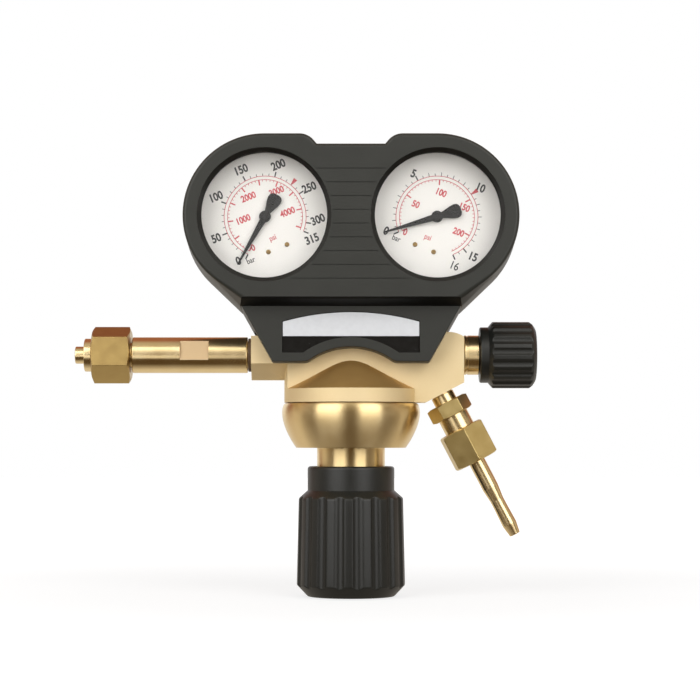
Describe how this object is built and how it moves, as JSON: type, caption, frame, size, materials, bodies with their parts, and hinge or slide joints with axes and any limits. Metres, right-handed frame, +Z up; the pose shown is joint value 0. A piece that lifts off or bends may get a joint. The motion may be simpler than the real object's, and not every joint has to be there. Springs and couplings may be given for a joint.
{
  "type": "compressed gas pressure regulator",
  "caption": "Brass gas pressure regulator with fluted adjusting knob below, two dial gauges in a black moulded cover, hexagon inlet nut, shut-off valve and slanting hose outlet.",
  "frame": {"origin": "centre of the inlet nose's end face, on the inlet's axis", "axes": "-X out of the inlet towards the cylinder, +Y towards the back of the gauges, +Z up towards the gauges"},
  "size_m": [0.2056, 0.0616, 0.2046],
  "materials": {
    "satin_brass": "satin forged and turned brass",
    "turned_brass": "bright turned brass",
    "tube_bronze": "drawn bronze tube",
    "sintered_bronze": "porous sintered bronze",
    "plated_steel": "zinc-plated steel",
    "black_steel": "black painted steel",
    "aluminium": "turned aluminium",
    "black_plastic": "finely grained charcoal nylon",
    "white_plastic": "white seat plastic",
    "rubber": "matt black rubber",
    "sealing_washer": "fibre sealing washer",
    "dial_white": "matt white dial",
    "pointer_black": "matt black pointer",
    "label_white": "bare white label",
    "clear_window": "clear polycarbonate"
  },
  "bodies": {
    "regulator": {"regulator_body": "satin_brass", "bonnet": "satin_brass", "bonnet_slip_ring": "plated_steel", "diaphragm": "rubber", "valve_seat": "satin_brass", "inlet_stem": "satin_brass", "inlet_stem_washer": "sealing_washer", "inlet_nipple": "satin_brass", "inlet_filter": "sintered_bronze", "outlet_valve_gland": "satin_brass", "outlet_valve_packing": "rubber", "outlet_adapter": "turned_brass", "relief_valve_cage": "satin_brass", "poppet_spring": "plated_steel", "set_spring": "plated_steel", "front_cover": "black_plastic", "rear_cover": "black_plastic", "cover_screw_top": "plated_steel", "cover_screw_centre": "plated_steel", "cover_screw_left": "plated_steel", "cover_screw_right": "plated_steel", "label_plate": "label_white", "high_pressure_gauge_case": "black_steel", "high_pressure_gauge_window": "clear_window", "high_pressure_gauge_dial": "dial_white", "high_pressure_gauge_socket": "satin_brass", "high_pressure_bourdon_tube": "tube_bronze", "high_pressure_movement_frame": "satin_brass", "high_pressure_gauge_link": "satin_brass", "delivery_gauge_case": "black_steel", "delivery_gauge_window": "clear_window", "delivery_gauge_dial": "dial_white", "delivery_gauge_socket": "satin_brass", "delivery_bourdon_tube": "tube_bronze", "delivery_movement_frame": "satin_brass", "delivery_gauge_link": "satin_brass"},
    "spring_disc": {"spring_disc": "plated_steel"},
    "adjusting_knob": {"adjusting_knob": "black_plastic", "adjusting_spindle": "plated_steel", "adjusting_knob_screw": "plated_steel", "adjusting_knob_cap": "black_plastic"},
    "diaphragm_plate": {"diaphragm_plate": "aluminium"},
    "valve_poppet": {"valve_poppet": "plated_steel"},
    "outlet_valve_pad": {"outlet_valve_pad": "white_plastic"},
    "outlet_valve_knob": {"outlet_valve_knob": "black_plastic", "outlet_valve_spindle": "plated_steel", "outlet_valve_knob_screw": "plated_steel", "outlet_valve_knob_cap": "black_plastic"},
    "inlet_thrust_washer": {"inlet_thrust_washer": "plated_steel"},
    "inlet_nut": {"inlet_nut": "turned_brass"},
    "hose_nipple": {"hose_nipple": "turned_brass"},
    "hose_union_nut": {"hose_union_nut": "turned_brass"},
    "relief_valve_disc": {"relief_valve_disc": "rubber", "relief_valve_spring": "plated_steel"},
    "high_pressure_pointer": {"high_pressure_gauge_pointer": "pointer_black", "high_pressure_pointer_arbor": "plated_steel"},
    "high_pressure_sector": {"high_pressure_sector_gear": "satin_brass"},
    "delivery_pointer": {"delivery_gauge_pointer": "pointer_black", "delivery_pointer_arbor": "plated_steel"},
    "delivery_sector": {"delivery_sector_gear": "satin_brass"}
  },
  "joints": [
    {"name": "spring_disc_travel", "type": "slide", "parent": "regulator", "child": "spring_disc", "axis": [0, 0, 1], "range_m": [0, 0.00438], "deforming": ["set_spring"]},
    {"name": "adjusting_knob_turn", "type": "hinge", "parent": "spring_disc", "child": "adjusting_knob", "pos_m": [0.1229, 0, -0.08], "axis": [0, 0, 1], "range_deg": [0, 1261]},
    {"name": "diaphragm_lift", "type": "slide", "parent": "regulator", "child": "diaphragm_plate", "axis": [0, 0, 1], "range_m": [0, 0.00061], "deforming": ["diaphragm"]},
    {"name": "valve_poppet_lift", "type": "slide", "parent": "regulator", "child": "valve_poppet", "axis": [0, 0, 1], "range_m": [0, 0.00061], "deforming": ["poppet_spring"]},
    {"name": "outlet_valve_travel", "type": "slide", "parent": "regulator", "child": "outlet_valve_pad", "axis": [1, 0, 0], "range_m": [0, 0.0015]},
    {"name": "outlet_valve_turn", "type": "hinge", "parent": "outlet_valve_pad", "child": "outlet_valve_knob", "pos_m": [0.1929, 0, 0], "axis": [1, 0, 0], "range_deg": [0, 541]},
    {"name": "inlet_nut_slide", "type": "slide", "parent": "regulator", "child": "inlet_thrust_washer", "axis": [-1, 0, 0], "range_m": [0, 0.012]},
    {"name": "inlet_nut_spin", "type": "hinge", "parent": "inlet_thrust_washer", "child": "inlet_nut", "pos_m": [0.0158, 0, 0], "axis": [1, 0, 0], "continuous": true},
    {"name": "hose_nipple_travel", "type": "slide", "parent": "regulator", "child": "hose_nipple", "axis": [0.4617, 0, -0.887], "range_m": [0, 0.00602]},
    {"name": "hose_union_turn", "type": "hinge", "parent": "hose_nipple", "child": "hose_union_nut", "pos_m": [0.17554, 0, -0.04073], "axis": [0.4617, 0, -0.887], "range_deg": [0, 1621]},
    {"name": "relief_valve_lift", "type": "slide", "parent": "regulator", "child": "relief_valve_disc", "axis": [0, 1, 0], "range_m": [0, 0.0006], "stiffness_N_per_m": 1500, "springref_m": -0.001},
    {"name": "high_pressure_pointer_turn", "type": "hinge", "parent": "regulator", "child": "high_pressure_pointer", "pos_m": [0.0851, -0.016, 0.0602], "axis": [0, 1, 0], "range_deg": [0, 270], "stiffness_Nm_per_rad": 0.00002, "springref_deg": -171.89},
    {"name": "high_pressure_sector_turn", "type": "hinge", "parent": "regulator", "child": "high_pressure_sector", "pos_m": [0.08644, -0.011, 0.04928], "axis": [0, 1, 0], "range_deg": [-34, 0]},
    {"name": "delivery_pointer_turn", "type": "hinge", "parent": "regulator", "child": "delivery_pointer", "pos_m": [0.1607, -0.016, 0.0602], "axis": [0, 1, 0], "range_deg": [0, 270], "stiffness_Nm_per_rad": 0.00002, "springref_deg": -171.89},
    {"name": "delivery_sector_turn", "type": "hinge", "parent": "regulator", "child": "delivery_sector", "pos_m": [0.15408, -0.011, 0.05142], "axis": [0, 1, 0], "range_deg": [-34, 0]}
  ],
  "couplings": [
    {"joint": "adjusting_knob_turn", "follows": "spring_disc_travel", "rad_per_m": 5026.5},
    {"joint": "diaphragm_lift", "follows": "spring_disc_travel", "ratio": 0.13714},
    {"joint": "valve_poppet_lift", "follows": "spring_disc_travel", "ratio": 0.13714},
    {"joint": "outlet_valve_turn", "follows": "outlet_valve_travel", "rad_per_m": 6283.2},
    {"joint": "hose_union_turn", "follows": "hose_nipple_travel", "rad_per_m": 4699.5},
    {"joint": "high_pressure_sector_turn", "follows": "high_pressure_pointer_turn", "ratio": -0.125},
    {"joint": "delivery_sector_turn", "follows": "delivery_pointer_turn", "ratio": -0.125}
  ]
}
